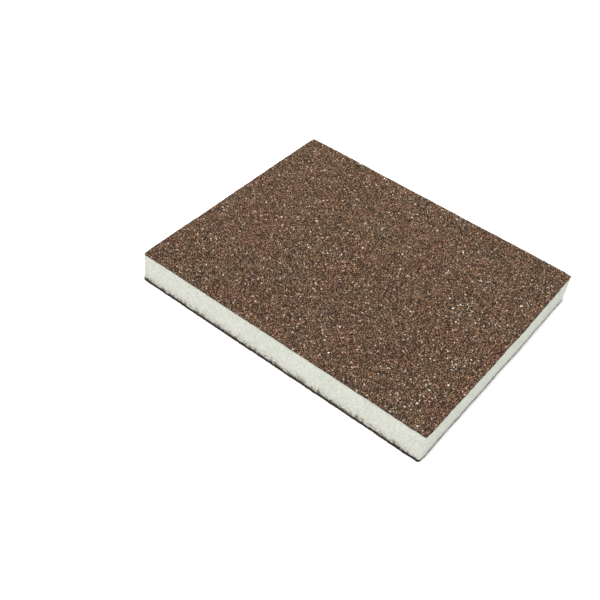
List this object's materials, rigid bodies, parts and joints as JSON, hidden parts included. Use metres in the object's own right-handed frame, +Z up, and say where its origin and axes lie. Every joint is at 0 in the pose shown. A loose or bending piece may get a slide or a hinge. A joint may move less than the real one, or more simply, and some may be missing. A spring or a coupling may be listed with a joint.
{
  "type": "sanding block",
  "caption": "Flat rectangular sanding block of white flexible foam with a brown coarse abrasive coat on both broad faces and bare foam on its four sides.",
  "frame": {"origin": "centre of the lower working face, on the surface the block stands on", "axes": "+X along the length, +Y along the width, +Z up through the thickness"},
  "size_m": [0.12, 0.098, 0.013],
  "materials": {
    "foam": "fine-celled white flexible polyurethane foam with die-cut sides",
    "bond_resin": "dark brown cured resin soaked into the foam skin",
    "abrasive_grit": "brown aluminium oxide grains with glassy facets"
  },
  "bodies": {
    "pad_base": {"lower_grit": "abrasive_grit", "lower_bond_coat": "bond_resin", "foam_core": "foam"},
    "upper_coat": {"upper_bond_coat": "bond_resin", "upper_grit": "abrasive_grit"}
  },
  "joints": [
    {"name": "foam_press", "type": "slide", "parent": "pad_base", "child": "upper_coat", "axis": [0, 0, -1], "range_m": [0, 0.005], "stiffness_N_per_m": 20000, "deforming": ["foam_core"]}
  ]
}
